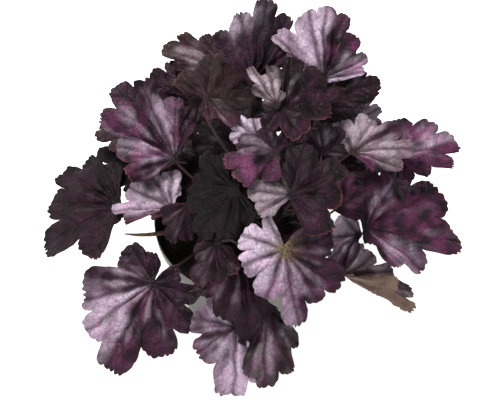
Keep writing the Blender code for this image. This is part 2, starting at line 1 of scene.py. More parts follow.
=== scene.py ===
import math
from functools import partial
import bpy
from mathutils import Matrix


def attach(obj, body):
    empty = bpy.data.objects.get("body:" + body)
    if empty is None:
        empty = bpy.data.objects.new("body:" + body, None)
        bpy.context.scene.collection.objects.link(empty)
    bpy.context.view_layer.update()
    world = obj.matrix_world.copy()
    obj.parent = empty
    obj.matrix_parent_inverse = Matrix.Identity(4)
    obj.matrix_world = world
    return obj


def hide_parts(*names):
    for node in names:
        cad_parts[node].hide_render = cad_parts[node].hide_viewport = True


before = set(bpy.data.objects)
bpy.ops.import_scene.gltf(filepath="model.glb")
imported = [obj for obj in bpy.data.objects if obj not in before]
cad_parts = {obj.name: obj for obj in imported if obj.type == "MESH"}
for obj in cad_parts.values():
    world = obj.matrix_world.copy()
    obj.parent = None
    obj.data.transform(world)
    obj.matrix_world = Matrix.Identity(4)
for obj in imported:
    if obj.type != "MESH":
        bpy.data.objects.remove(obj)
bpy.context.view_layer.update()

# Heuchera plant in its nursery pot: finer blades, stalks, potting mix and pot around the packed
# part. Lengths are in millimetres until a mesh is made. The blade table and the shape functions
# repeat those of the part, so each fine blade lies where its solid does.
from types import SimpleNamespace

import bpy
import numpy as np
from mathutils import Vector, noise

MM = 0.001

# Pot, potting mix and crown, as in the part
POT_HEIGHT, RIM_RADIUS, BASE_RADIUS, POT_WALL, BASE_THICK = 136.0, 85.0, 62.0, 1.2, 2.0
LIP_HEIGHT, LIP_STEP = 13.0, 3.5
STEP_AT = POT_HEIGHT - LIP_HEIGHT
DRAIN_HOLES, DRAIN_RADIUS, DRAIN_CIRCLE = 6, 5.0, 50.0
GAP, SOIL_TOP, SOIL_DOME = 0.4, 117.0, 4.0
CROWN_RADIUS, CROWN_DEPTH, CROWN_TOP = 22.0, 14.0, 131.0
FOOT_HEIGHT = 1.2         # the base is this far off the floor, within the foot ring
POT_SIDES, SOIL_SIDES, SOIL_RINGS = 144, 220, 46

# Blades, as in the part
SINUS_RADIUS, HUB_RADIUS, TOOTH, PLEAT, CUP = 4.0, 16.0, 0.06, 3.2, 0.04
LOBE_BLUNT, CUT_SLOPE, CUT_MOST = 4, 0.36, 0.27
RINGS = ((0.34, (0.0,)), (0.68, (0.0, 1.0)), (1.0, (-0.64, -0.34, 0.0, 0.34, 0.64, 1.0)))
TOOTH_STOP = 0.34
LAYER_RISE = math.radians(58.0)
LAYER_GAP, LAYER_SLOPE, LAYER_PASSES = 3.4, 0.30, 8

# Fine blades
NET_STEP = 1.45           # side of a triangle
HIDDEN_STEP = 2.6         # the same on leaves no view shows well
HIDDEN = (1, 2, 3, 4, 5, 17, 18)
BLADE_THICK, RIM_THICK = 0.55, 0.34
SCALLOP_WIDTH, SCALLOP_DEPTH = 9.0, 3.4
NET_WANDER, VEIN_WANDER = 3.96, 2.88      # how far the net and its veins stray sideways
SWAY_WAVE, SWAY_FADE = 19.0, (4.0, 30.0)  # over what length, and between which radii it sets in
BROAD_WAVE, SMALL_WAVE = 17.0, 5.5        # the two noises that relief and markings share
MAIN_VEIN_SINK, MAIN_VEIN_WIDTH = 1.2, 1.4
SIDE_VEIN_STEP, SIDE_VEIN_SINK, SIDE_VEIN_WIDTH = 10.5, 0.42, 1.2
SIDE_VEIN_LEAN, SIDE_VEIN_ACROSS = 0.9, 0.74
BLISTER, CRUMPLE, RUFFLE = 0.9, 2.6, 3.0  # heights of the small and broad bumps and of the margin's waves
RIB, RIB_WIDTH = 0.55, 0.9                # main veins stand out this far under the blade
TAN_RADIUS = 11.0

# Stalks and their hairs
STALK_VOXEL = 0.9
HAIR_COUNT, HAIR_LENGTH, HAIR_RADIUS = 15000, (0.5, 1.5), 0.055

# Withered stalk, as in the part
WITHERED_ROUTE = ((-25.5, -6, 123.0), (-45, -11, 130), (-66, -16, 136.5), (-82, -19.6, 138.8),
                  (-88, -20.6, 138.9), (-100, -21, 139.2), (-113, -20, 139))
WITHERED_RADIUS = (2.0, 2.2, 2.3, 2.4, 2.4, 1.9, 0.8)
WITHERED_STEPS, WITHERED_SIDES = 90, 14


def even_lobes(first, second, third, middle):
    """Seven lobes of a plain leaf, the same on both sides of the middle one."""
    return ((-125, first), (-84, second), (-42, third), (0, middle), (42, third), (84, second), (125, first))


# The part's leaves, lowest layer first: number, tint, joint with the stalk, point of the middle lobe,
# arch, ruffle, digits for each lobe's silvery bloom (real silvering with painted sheen) and magenta flush,
# and each lobe's direction (degrees), reach and, on some, how far out the cut after it lies, as a share.
LEAVES = (
    # low leaves round the back
    (1, "dark", (-80, 70, 148), (-128, 94, 130), 6, 3, "1111111", "2222222", even_lobes(28, 40, 50, 57)),
    (2, "dark", (2, 108, 142), (2, 172, 122), 6, 3, "1122211", "2222222", even_lobes(34, 47, 59, 67)),
    (3, "dark", (-46, 94, 150), (-86, 140, 130), 6, 3, "1122211", "2222222", even_lobes(32, 45, 56, 64)),
    (4, "dark", (54, 98, 152), (90, 148, 132), 6, 3, "1122211", "2222222", even_lobes(32, 45, 57, 65)),
    (5, "dark", (92, 48, 154), (142, 70, 132), 6, 3, "1122211", "2222222", even_lobes(29, 41, 52, 59)),
    # skirt
    (6, "silver", (-82, -82, 152), (-124, -149, 114), 4, 3, "036952100", "013543210",
     ((-151, 32), (-117, 46), (-50, 74), (-27, 80), (-1, 92), (37, 70), (72, 58), (102, 47), (144, 29))),
    (7, "silver", (-4, -128, 152), (-5, -180, 112), 5, 4, "7759992", "3375442",
     ((-153, 42), (-101, 43), (-55, 45), (0, 69), (26, 57), (57, 38), (89, 21))),
    (8, "dark", (24, -108, 161), (24, -175, 122), 5, 3, "566555", "344433",
     ((-32, 45), (-14, 71), (-1, 80), (21, 68), (38, 49), (53, 26))),
    (9, "young", (97, -76, 158), (163, -108, 140), 4, 3, "2266688", "1111111",
     ((-45, 12), (-27, 54), (0, 75), (20, 71), (38, 52), (62, 40), (92, 38))),
    (10, "dark", (-89, 42, 161), (-142, 65, 156), 5, 3, "0000000", "0000000",
     ((-83, 25), (-43, 37), (-24, 52), (-2, 60), (20, 50), (50, 43), (79, 36))),
    (11, "dark", (-118, -6, 166), (-188, -4, 142), 5, 3, "0011210", "1122221",
     ((-79, 55), (-59, 79), (-41, 88), (-16, 80), (18, 86), (63, 58), (106, 18))),
    (12, "young", (-97, 78, 178), (-141, 82, 180), 5, 3, "1222211", "1111111",
     ((-90, 30), (-56, 41), (-29, 41), (-3, 44), (19, 45), (48, 39), (83, 29))),
    (13, "silver", (119, -35, 176), (209, -34, 152), 5, 4, "1772261", "4766653",
     ((-82, 20), (-50, 51), (-32, 67), (-1, 97, 0.82), (37, 100, 0.86), (61, 89), (87, 66))),
    (14, "silver", (112, -38, 168), (82, -34, 151), 3, 3, "9995", "2464",
     ((-52, 39), (-8, 40), (38, 38), (61, 42))),
    (15, "silver", (151, 43, 178), (214, 63, 176), 4, 3, "2227521", "3668932",
     ((-85, 28), (-42, 36), (-24, 57), (4, 69), (31, 60), (62, 51), (92, 40))),
    (16, "silver", (104, 76, 181), (136, 95, 196), 4, 3, "568863", "222222",
     ((-56, 15), (-28, 34), (-6, 38), (27, 45), (44, 43), (68, 32))),
    # inside the mound and behind it
    (17, "dark", (-10, 116, 178), (-12, 170, 162), 6, 3, "1111111", "1111111",
     ((-120, 38), (-80, 46), (-42, 50), (0, 56), (42, 50), (84, 39), (125, 28))),
    (18, "dark", (52, 112, 184), (66, 164, 168), 6, 3, "1111111", "1111111", even_lobes(28, 39, 49, 56)),
    (43, "dark", (-37, 34, 168), (-69, 64, 158), 4, 3, "011000", "111111",
     ((-105, 38), (-70, 50), (-35, 52), (0, 50), (40, 47), (85, 42))),
    (44, "dark", (46, 30, 172), (62, 62, 170), 4, 3, "01100", "11111",
     ((-95, 34), (-50, 41), (-10, 43), (32, 43), (75, 38))),
    (45, "dark", (44, -24, 158), (80, -46, 145), 4, 3, "011000", "111111",
     ((-85, 38), (-37, 42), (0, 45), (37, 47), (72, 49), (108, 40))),
    (46, "dark", (-12, -30, 158), (-22, -62, 142), 4, 3, "01100", "11111",
     ((-90, 28), (-45, 33), (0, 37), (42, 39), (88, 34))),
    (19, "dark", (0, -27, 186), (-33, -44, 176), 4, 3, "11211", "11111",
     ((-57, 40), (-19, 44), (18, 48), (52, 44), (95, 38))),
    (20, "dark", (-44, 102, 186), (-88, 123, 208), 4, 3, "0134241", "1122332",
     ((-80, 29), (-52, 42), (-32, 52), (0, 56), (23, 51), (49, 43), (88, 29))),
    (21, "dark", (86, 28, 188), (101, 58, 196), 4, 3, "11111", "11111",
     ((-75, 34), (-37, 35), (4, 34), (47, 31), (97, 25))),
    (22, "dark", (-8, 41, 194), (-39, 66, 196), 4, 3, "112211", "111111",
     ((-77, 39), (-38, 45), (-10, 48), (23, 40), (60, 33), (114, 25))),
    # middle layer
    (23, "silver", (-65, -25, 196), (-121, -13, 180), 4, 3, "867863", "123454",
     ((-77, 44), (-50, 49), (-26, 58), (3, 60), (18, 48), (38, 22))),
    (24, "dark", (-49, -24, 198), (-66, -47, 174), 4, 3, "2332", "2222",
     ((-38, 31), (-2, 40), (26, 32), (62, 29))),
    (25, "young", (-17, 132, 198), (-76, 152, 214), 4, 3, "1226411", "2222222",
     ((-80, 27), (-45, 47), (-23, 60), (0, 65), (15, 48), (33, 35), (81, 18))),
    (26, "dark", (79, 83, 208), (136, 103, 220), 4, 3, "000011", "111111",
     ((-104, 25), (-65, 31), (-35, 42), (3, 63), (23, 57), (46, 41))),
    (27, "dark", (91, -28, 200), (105, 2, 212), 4, 3, "22132", "45343",
     ((-81, 25), (-32, 29), (4, 37), (29, 29), (66, 24))),
    (28, "silver", (-62, 23, 208), (-113, 86, 236), 5, 4, "1643474", "2623675",
     ((-61, 41), (-38, 65), (-14, 86), (1, 89), (23, 80), (45, 56), (77, 51))),
    (29, "young", (107, 34, 202), (152, 61, 208), 4, 4, "378598", "854322",
     ((-72, 29), (-53, 52), (-30, 59), (3, 55), (30, 42), (80, 38))),
    (30, "silver", (78, 30, 208), (78, 57, 222), 3, 3, "33553", "11111",
     ((-86, 22), (-44, 29), (0, 31), (36, 23), (78, 26))),
    (31, "silver", (11, 95, 228), (19, 161, 271), 5, 4, "0025741", "1211232",
     ((-77, 31), (-41, 52), (-22, 76), (-4, 84), (15, 70), (43, 61), (63, 39))),
    (32, "silver", (80, 106, 221), (84, 164, 258), 5, 4, "97428887", "99943333",
     ((-77, 41), (-60, 49), (-32, 54), (-15, 67), (0, 71), (16, 69), (53, 65), (63, 41))),
    # top of the mound
    (33, "dark", (0, -78, 208), (6, -144, 168), 5, 3, "1532111", "1422111",
     ((-82, 36), (-47, 55), (-16, 66), (1, 79), (15, 67), (38, 44), (70, 27))),
    (47, "dark", (30, -50, 200), (62, -58, 204), 4, 3, "01110", "22211",
     ((-95, 24), (-50, 31), (-8, 35), (35, 33), (80, 28))),
    (34, "dark", (-21, -74, 216), (-39, -100, 190), 4, 3, "34421", "23321",
     ((-79, 14), (-32, 28), (-1, 45), (28, 39), (63, 33))),
    (35, "silver", (40, -88, 226), (51, -144, 190), 5, 4, "89977432", "12384542",
     ((-161, 34), (-119, 43), (-80, 42), (-32, 46), (2, 70), (26, 59), (46, 64), (97, 47))),
    (36, "dark", (-4, -26, 228), (-46, -15, 222), 4, 3, "0011100", "0000000",
     ((-64, 47), (-41, 52), (-7, 48), (31, 49), (66, 56), (96, 52), (128, 39))),
    (37, "dark", (46, -41, 244), (60, 4, 256), 4, 4, "0011699", "3321113",
     ((-117, 52), (-76, 45), (-44, 58), (0, 51), (52, 38), (102, 41), (135, 35))),
    (38, "silver", (16, 27, 236), (-6, 37, 244), 3, 3, "898", "111",
     ((-57, 22), (-10, 29), (35, 26))),
    (39, "silver", (32, 4, 248), (-2, 13, 250), 4, 3, "123311", "111684",
     ((-106, 26), (-56, 27), (0, 37), (26, 49), (58, 48), (97, 32))),
    (40, "dark", (40, 51, 250), (98, 76, 248), 5, 4, "1111236", "1222201",
     ((-155, 27), (-86, 37), (-19, 48), (-3, 64), (28, 60), (58, 66), (78, 55))),
    (41, "young", (34, 51, 256), (14, 80, 268), 3, 2, "68864", "11111",
     ((-55, 14), (-20, 32), (0, 46), (22, 28), (60, 14))),
    (42, "young", (-31, 65, 248), (9, 74, 244), 4, 4, "1531111", "4431112",
     ((-116, 16), (-95, 29), (-61, 41), (-4, 43), (42, 50), (73, 54), (124, 39))),
)

# Pink of the turned margin, one digit for each lobe, on the leaves that show it
PINK_EDGES = {
    23: "000079", 37: "9720000", 40: "9940000", 42: "3300038",
    13: "4112261", 15: "0630000", 33: "0000000", 28: "0000039",
    34: "00577", 39: "113991", 11: "0000030",
}

# Leaves whose bloom and painted sheen lie only near the margin, tan at the hub, darkened by painted shade,
# or folded over (degrees)
OUTER_BLOOM_AND_SHEEN = (31,)
TAN_HUBS = {35: 1.0}
PAINTED_SHADE_BY_LEAF = {36: 1.0, 11: 0.5, 31: 0.4, 37: 0.4, 42: 0.4, 10: 0.6}
FOLDS = {9: 125.0}

# Leaf colours by tint: darkest and middle tone of the upper side, its bloom (silvering with painted sheen),
# and the underside
TINTS = {
    "silver": ((0.0085, 0.0040, 0.0065), (0.032, 0.0105, 0.024), (0.54, 0.43, 0.54), (0.13, 0.045, 0.06)),
    "dark": ((0.0052, 0.0026, 0.0034), (0.018, 0.0070, 0.0110), (0.36, 0.29, 0.32), (0.09, 0.035, 0.04)),
    "young": ((0.014, 0.0068, 0.0080), (0.038, 0.0170, 0.0195), (0.46, 0.37, 0.41), (0.19, 0.125, 0.098)),
}
MAGENTA = (0.17, 0.038, 0.11)
PINK_SILVER = (0.52, 0.26, 0.44)
EDGE = (0.13, 0.034, 0.045)
TAN = (0.165, 0.12, 0.062)
# Painted shade: the near black that shaded leaves are darkened towards
DEEP_SHADE = (0.002, 0.0015, 0.0018)

# Leaf gloss and the coarseness of its patterns, in blade coordinates (0.1 m to one)
LEAF_SPECULAR = 0.12
LEAF_ROUGH = (0.36, 0.54)
NET_SCALE, PATCH_SCALE, SPECK_SCALE = 30.0, 5.0, 42.0
BLADE_UNIT = 100.0
BLADE_SHIFT = 170.0       # keeps the patterns of two blades apart

# Colours of the pot, the potting mix and the stalks, dark then light
POT_OUTER = ((0.062, 0.060, 0.047), (0.082, 0.080, 0.064))
POT_INNER = ((0.007, 0.007, 0.006), (0.016, 0.013, 0.010))
POT_SCRATCH, POT_LIP_HIGHLIGHT = (0.13, 0.126, 0.105), (0.21, 0.21, 0.18)
SOIL_TONES = ((0.004, 0.003, 0.0025), (0.018, 0.0125, 0.009))
STALK_TONES = ((0.022, 0.009, 0.010), (0.085, 0.028, 0.030))
HAIR_TONES = ((0.30, 0.20, 0.17), (0.45, 0.33, 0.28))
DRY_TONES = ((0.10, 0.060, 0.032), (0.30, 0.20, 0.11))

# Camera and light, in metres, and floor
CAMERA_AIM, CAMERA_AWAY, CAMERA_LENS = (0.0093, 0.0150, 0.1454), 1.400, 102.6
PLANT_MIDDLE = (0, 0, 0.18)
FLOOR_HALF, FLOOR_TONE, FLOOR_GLOW = 3000.0, 0.93, 0.64


def new_object(name, data):
    obj = bpy.data.objects.new(name, data)
    bpy.context.scene.collection.objects.link(obj)
    return obj


def new_mesh(name, points, faces):
    """Mesh from millimetre points."""
    mesh = bpy.data.meshes.new(name)
    mesh.from_pydata((np.asarray(points) * MM).tolist(), [], [tuple(map(int, f)) for f in faces])
    return mesh


def aim(obj, place, way):
    """Puts a camera or lamp in its place (in metres), facing one way."""
    obj.location = place
    obj.rotation_mode = "QUATERNION"
    obj.rotation_quaternion = way.to_track_quat("-Z", "Y")


def place_camera():
    """Camera at the photograph's angle: from the front, 58 degrees above the horizon."""
    back = Vector((0.0, -math.cos(LAYER_RISE), math.sin(LAYER_RISE)))
    cam = new_object("camera", bpy.data.cameras.new("camera"))
    cam.data.lens, cam.data.sensor_width = CAMERA_LENS, 36.0
    aim(cam, Vector(CAMERA_AIM) + back * CAMERA_AWAY, -back)
    bpy.context.scene.camera = cam


def area_light(name, place, size, watts, colour):
    """Round soft light that faces the plant."""
    lamp = bpy.data.lights.new(name, "AREA")
    lamp.shape, lamp.size, lamp.energy, lamp.color = "DISK", size, watts, colour
    aim(new_object(name, lamp), place, Vector(PLANT_MIDDLE) - Vector(place))


def light_studio():
    """Soft light from above and the left, a pale floor and a surround that is palest low down."""
    area_light("key", place=(-0.7, 0.55, 1.7), size=1.1, watts=46, colour=(1.0, 0.98, 0.97))
    area_light("fill", place=(0.9, -1.2, 1.3), size=1.4, watts=12, colour=(0.95, 0.97, 1.0))
    world = bpy.data.worlds.new("studio")
    world.use_nodes = True
    way = node("TexCoord", tree=world.node_tree).outputs["Generated"]
    surround = ramp(node("SeparateXYZ", [(0, way)]).outputs["Z"], 0.08, 0.42, 0.93, 0.33)
    link(surround, world.node_tree.nodes["Background"].inputs["Color"])
    bpy.context.scene.world = world
    bpy.context.scene.view_settings.view_transform = "Standard"
    corners = [(x * FLOOR_HALF, y * FLOOR_HALF, 0) for x, y in ((-1, -1), (1, -1), (1, 1), (-1, 1))]
    floor = new_object("floor", new_mesh("floor", corners, [(0, 1, 2, 3)]))
    mat, shader = new_material("floor")
    shader.inputs["Base Color"].default_value = (FLOOR_TONE, FLOOR_TONE, FLOOR_TONE, 1)
    shader.inputs["Roughness"].default_value = 0.9
    shader.inputs["Emission Color"].default_value = (1, 1, 1, 1)
    shader.inputs["Emission Strength"].default_value = FLOOR_GLOW
    floor.data.materials.append(mat)


# Shader nodes: each is made in the tree of the sockets linked to it

def new_material(name):
    mat = bpy.data.materials.new(name)
    mat.use_nodes = True
    return mat, mat.node_tree.nodes["Principled BSDF"]


def link(socket, target):
    socket.id_data.links.new(socket, target)


def node(kind, inputs=(), tree=None, **settings):
    """Shader node with its inputs set or linked: (name or place, value or socket) pairs."""
    linked = [value for _, value in inputs if isinstance(value, bpy.types.NodeSocket)]
    made = (tree or linked[0].id_data).nodes.new("ShaderNode" + kind)
    for key, value in settings.items():
        setattr(made, key, value)
    for key, value in inputs:
        if value in linked:
            link(value, made.inputs[key])
        else:
            made.inputs[key].default_value = value
    return made


def maths(operation, *values):
    return node("Math", list(enumerate(values)), operation=operation).outputs[0]


times, plus, less = (partial(maths, operation) for operation in ("MULTIPLY", "ADD", "SUBTRACT"))


def ramp(value, low, high, out_low=0.0, out_high=1.0):
    """Smooth step between two values."""
    made = node("MapRange", [("Value", value), ("From Min", low), ("From Max", high),
                             ("To Min", out_low), ("To Max", out_high)],
                interpolation_type="SMOOTHSTEP")
    return made.outputs["Result"]


def mix(share, one, other):
    """Blend of two colours, each a socket or three numbers."""
    one, other = (c if isinstance(c, bpy.types.NodeSocket) else (*c, 1.0) for c in (one, other))
    return node("Mix", [(0, share), (6, one), (7, other)], data_type="RGBA").outputs[2]


def attributes(mat, *names):
    return [node("Attribute", tree=mat.node_tree, attribute_name=name).outputs["Fac"] for name in names]


def cloud(at, scale, detail=3.0, rough=0.55):
    made = node("TexNoise", [("Vector", at), ("Scale", scale), ("Detail", detail), ("Roughness", rough)])
    return made.outputs["Fac"]


def stretched(at, along):
    """The same coordinates with the pattern drawn out along Z."""
    return node("Mapping", [("Vector", at), ("Scale", (1.0, 1.0, along))]).outputs[0]


def object_place(mat):
    return node("TexCoord", tree=mat.node_tree).outputs["Object"]


def add_bump(shader, height, strength, distance):
    bump = node("Bump", [("Height", height), ("Strength", strength), ("Distance", distance)])
    link(bump.outputs[0], shader.inputs["Normal"])


# Materials

def leaf_lace(at):
    """The finest net of veins on a leaf: distance from its threads, and from its cells' middles."""
    bend = node("TexNoise", [("Vector", at), ("Scale", 9.0), ("Detail", 2.0)]).outputs["Color"]
    bent = node("VectorMath", [(0, bend), (1, (0.09, 0.09, 0.0))], operation="MULTIPLY").outputs[0]
    warped = node("VectorMath", [(0, at), (1, bent)], operation="ADD").outputs[0]
    net, cell = (node("TexVoronoi", [("Vector", warped), ("Scale", NET_SCALE)],
                      feature=feature, voronoi_dimensions="2D").outputs["Distance"]
                 for feature in ("DISTANCE_TO_EDGE", "F1"))
    return net, cell


def leaf_veins(mat, at, net, speck):
    """How near the side veins, and any vein at all, are: 1 on the vein."""
    vein, rib, span = attributes(mat, "vein", "rib", "span")
    main = ramp(plus(vein, times(span, 0.5)), 0.2, 1.1, 1.0, 0.0)
    wander = times(less(cloud(at, 12.0, 2.0), 0.5), 0.8)
    place = plus(rib, wander)
    side = maths("ABSOLUTE", less(place, maths("ROUND", place)))
    side = ramp(side, 0.0, 0.085, 1.0, 0.0)
    side = times(side, ramp(cloud(at, 7.0, 2.0), 0.35, 0.6, 0.25, 1.0))
    lace = ramp(net, 0.01, 0.09, 1.0, 0.0)
    lace = times(lace, ramp(speck, 0.35, 0.6, 0.2, 1.0))
    dark = maths("MAXIMUM", main, times(side, 0.55))
    return side, maths("MAXIMUM", dark, times(lace, 0.42))


def leaf_top(mat, tones, patch, speck, cell, dark):
    """Upper side: dark ground, magenta flush, silvery bloom between the veins with painted sheen in it, a
    tan hub.
    """
    darkest, middle, silver = tones
    bloom_and_sheen, flush, tan = attributes(mat, "bloom_and_sheen", "flush", "tan")
    off_veins = less(1.0, times(dark, 0.8))
    colour = mix(ramp(patch, 0.40, 0.72), darkest, middle)
    reds = times(flush, ramp(speck, 0.3, 0.6, 0.3, 1.0))
    colour = mix(times(reds, off_veins), colour, MAGENTA)
    # painted sheen: the bloom lightens lobes as if they faced the light, on top of their real silvering
    pale = times(bloom_and_sheen, ramp(patch, 0.28, 0.55, 0.6, 1.1))
    pale = times(pale, ramp(speck, 0.25, 0.6, 0.72, 1.05))
    pale = times(pale, ramp(cell, 0.1, 0.9, 1.08, 0.82))
    silver = mix(times(flush, 0.65), silver, PINK_SILVER)
    colour = mix(times(pale, off_veins), colour, silver)
    return mix(times(tan, ramp(speck, 0.35, 0.6, 0.3, 1.0)), colour, TAN)


def leaf_material(tint):
    """Dark leaf with silvery bloom, partly painted sheen, between sunken veins, by the blade's own
    coordinates.
    """
    mat, shader = new_material("heuchera_" + tint)
    at = node("UVMap", tree=mat.node_tree, uv_map="blade").outputs["UV"]
    under, edge, painted_shade = attributes(mat, "under", "edge", "painted_shade")
    patch, speck = cloud(at, PATCH_SCALE, 4.0, 0.6), cloud(at, SPECK_SCALE, 3.0, 0.6)
    net, cell = leaf_lace(at)
    side, dark = leaf_veins(mat, at, net, speck)

    *tones, below = TINTS[tint]
    top = leaf_top(mat, tones, patch, speck, cell, dark)
    deep, pale = ([c * factor for c in below] for factor in (0.5, 1.8))
    below = mix(times(dark, 0.45), mix(ramp(patch, 0.3, 0.75), below, deep), pale)
    colour = mix(under, top, below)
    colour = mix(times(edge, ramp(speck, 0.3, 0.55, 0.4, 1.0)), colour, EDGE)
    # painted shade: darkens the listed leaves as if they lay in the shadow deep in the mound
    colour = mix(times(painted_shade, 0.6), colour, DEEP_SHADE)
    link(colour, shader.inputs["Base Color"])

    rough = plus(ramp(speck, 0.2, 0.8, *LEAF_ROUGH), times(under, 0.2))
    link(plus(rough, times(painted_shade, 0.22)), shader.inputs["Roughness"])
    shader.inputs["Specular IOR Level"].default_value = LEAF_SPECULAR
    height = less(ramp(net, 0.0, 0.35), times(side, 0.7))
    add_bump(shader, plus(height, times(speck, 0.25)), 0.6, 0.0005)
    return mat


def grain_material(name, tones, scale, rough, distance, strength=0.6, along=1.0):
    """Two tones mixed by noise of some size (per metre), with matching roughness and bump."""
    mat, shader = new_material(name)
    at = stretched(object_place(mat), along)
    coarse, fine = cloud(at, scale, 5.0, 0.62), cloud(at, scale * 6, 4.0, 0.6)
    share = ramp(plus(times(coarse, 0.65), times(fine, 0.35)), 0.36, 0.66)
    link(mix(share, *tones), shader.inputs["Base Color"])
    link(ramp(fine, 0.3, 0.7, rough - 0.08, rough + 0.08), shader.inputs["Roughness"])
    add_bump(shader, fine, strength, distance)
    return mat


def pot_material():
    """Thin thermoformed plastic: taupe outside, black inside, a pale lip that is a painted highlight, and
    dusty wall.
    """
    mat, shader = new_material("pot_plastic_two_tone")
    at, (inside, lip) = object_place(mat), attributes(mat, "inside", "lip")
    broad, fine = cloud(at, 22.0, 5.0, 0.6), cloud(at, 900.0, 2.0)
    scratch = ramp(cloud(stretched(at, 0.12), 240.0, 3.0), 0.60, 0.72)
    outer = mix(ramp(broad, 0.3, 0.7), *POT_OUTER)
    outer = mix(times(scratch, 0.25), outer, POT_SCRATCH)
    inner = mix(ramp(broad, 0.4, 0.7), *POT_INNER)
    colour = mix(inside, outer, inner)
    # painted highlight along the top of the rim
    colour = mix(times(lip, 0.7), colour, POT_LIP_HIGHLIGHT)
    link(colour, shader.inputs["Base Color"])
    link(ramp(broad, 0.2, 0.8, 0.42, 0.6), shader.inputs["Roughness"])
    add_bump(shader, fine, 0.12, 0.0003)
    return mat


# Meshes

def new_piece(name, points, faces, mat, replaces=None):
    """Smooth object from millimetre points, riding on the part's only body."""
    mesh = new_mesh(name, points, faces)
    mesh.materials.append(mat)
    mesh.polygons.foreach_set("use_smooth", [True] * len(mesh.polygons))
    obj = new_object(name, mesh)
    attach(obj, "root")
    if replaces:
        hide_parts(replaces)
    return obj


def point_values(mesh, name):
    """A three-number value of every mesh point, as rows."""
    values = np.empty(len(mesh.vertices) * 3)
    mesh.vertices.foreach_get(name, values)
    return values.reshape(-1, 3)


def evaluated_mesh(obj):
    """A new mesh of the object with its modifiers applied."""
    return bpy.data.meshes.new_from_object(obj.evaluated_get(bpy.context.evaluated_depsgraph_get()))


def give(obj, name, values):
    """Per-point number on a mesh, read by its material."""
    obj.data.attributes.new(name, "FLOAT", "POINT").data.foreach_set(
        "value", np.ascontiguousarray(values, dtype=np.float32))


def hard_edges(obj, chosen):
    """Marks as sharp the edges whose two points have the same number above zero."""
    edges = np.empty(len(obj.data.edges) * 2, dtype=np.int64)
    obj.data.edges.foreach_get("vertices", edges)
    a, b = edges.reshape(-1, 2).T
    sharp = (chosen[a] > 0) & (chosen[a] == chosen[b])
    obj.data.attributes.new("sharp_edge", "BOOLEAN", "EDGE").data.foreach_set("value", sharp)


def give_uv(obj, flat):
    """Blade coordinates, from the flat place of each point on either side."""
    uv = obj.data.uv_layers.new(name="blade")
    corner = np.empty(len(obj.data.loops), dtype=np.int64)
    obj.data.loops.foreach_get("vertex_index", corner)
    uv.data.foreach_set("uv", flat[corner % len(flat)].astype(np.float32).ravel())


def drift(points, size, seed):
    """Smooth noise from -1 to 1 at each point; size is the length of a wave."""
    shift = Vector((seed * 7.31, seed * 3.17, seed * 5.77))
    return np.array([noise.noise(Vector(p) / size + shift) for p in points])


def step(x, low, high):
    """Smooth step from 0 at low to 1 at high."""
    t = np.clip((x - low) / (high - low), 0, 1)
    return t * t * (3 - 2 * t)


def unit(rows):
    return rows / np.linalg.norm(rows, axis=1)[:, None]


# Blades: the part's own shape functions

def lobe_layout(lobes):
    """Lobe directions, and direction and reach of the cuts round them (radians, mm)."""
    at = [math.radians(lobe[0]) for lobe in lobes]
    first = max(-math.pi + 0.1, at[0] - 0.62 * (at[1] - at[0]))
    last = min(math.pi - 0.1, at[-1] + 0.62 * (at[-1] - at[-2]))
    cuts, reach = [first], [0.6 * lobes[0][1]]
    for i in range(len(lobes) - 1):
        near, far = lobes[i][1], lobes[i + 1][1]
        mean = 2 * near * far / (near + far)
        apart = math.hypot(near - far, mean * (at[i + 1] - at[i]))
        share = lobes[i][2] if len(lobes[i]) > 2 else 1 - min(CUT_MOST, CUT_SLOPE * apart / mean)
        cuts.append((at[i] + at[i + 1]) / 2)
        reach.append(share * mean)
    return at, cuts + [last], reach + [0.6 * lobes[-1][1]]


def blade_ring(lobes, share, stops):
    """Directions, radii and place across the lobe for one ring of blade points."""
    at, cuts, reach = lobe_layout(lobes)
    ring = [(cuts[0], reach[0], -1.0)]
    for k, lobe in enumerate(lobes):
        for u in stops:
            side = cuts[k] if u < 0 else cuts[k + 1]
            cut = reach[k] if u < 0 else reach[k + 1]
            radius = cut + (lobe[1] - cut) * (1 - abs(u) ** LOBE_BLUNT)
            if share == 1.0 and abs(u) == TOOTH_STOP:
                radius *= 1 - TOOTH
            ring.append((at[k] + abs(u) * (side - at[k]), radius, u))
    if stops[-1] != 1.0:
        ring.append((cuts[-1], reach[-1], 1.0))
    ring.append((math.pi, SINUS_RADIUS, 1.0))
    angle, radius, across = (np.array(column) for column in zip(*ring))
    if share < 1.0:
        away = (angle[:, None] - angle[None, :] + math.pi) % (2 * math.pi) - math.pi
        blend = np.exp(-(away / (0.5 * (1.2 - share))) ** 2)
        blend[:, -1] = blend[-1, :] = 0
        blend[-1, -1] = 1
        radius = blend @ radius / blend.sum(axis=1)
    return angle, radius * share, across


def band(angle_in, angle_out, first_in, first_out):
    """Triangles between two rings that start and end at the same directions."""
    n, m, i, j, faces = len(angle_in), len(angle_out), 0, 0, []
    while i < n or j < m:
        next_in = angle_in[i + 1] if i + 1 < n else angle_in[0] + 2 * math.pi
        next_out = angle_out[j + 1] if j + 1 < m else angle_out[0] + 2 * math.pi
        if j < m and (i >= n or next_out <= next_in):
            faces.append((first_in + i % n, first_out + j % m, first_out + (j + 1) % m))
            j += 1
        else:
            faces.append((first_in + i % n, first_out + j % m, first_in + (i + 1) % n))
            i += 1
    return faces


def gathered(rings, shares):
    """Columns of all rings after a middle point, with each point's ring share as the last."""
    rings = [(*ring, np.full(len(ring[0]), share)) for ring, share in zip(rings, shares)]
    return [np.concatenate([[0.0], *column]) for column in zip(*rings)]


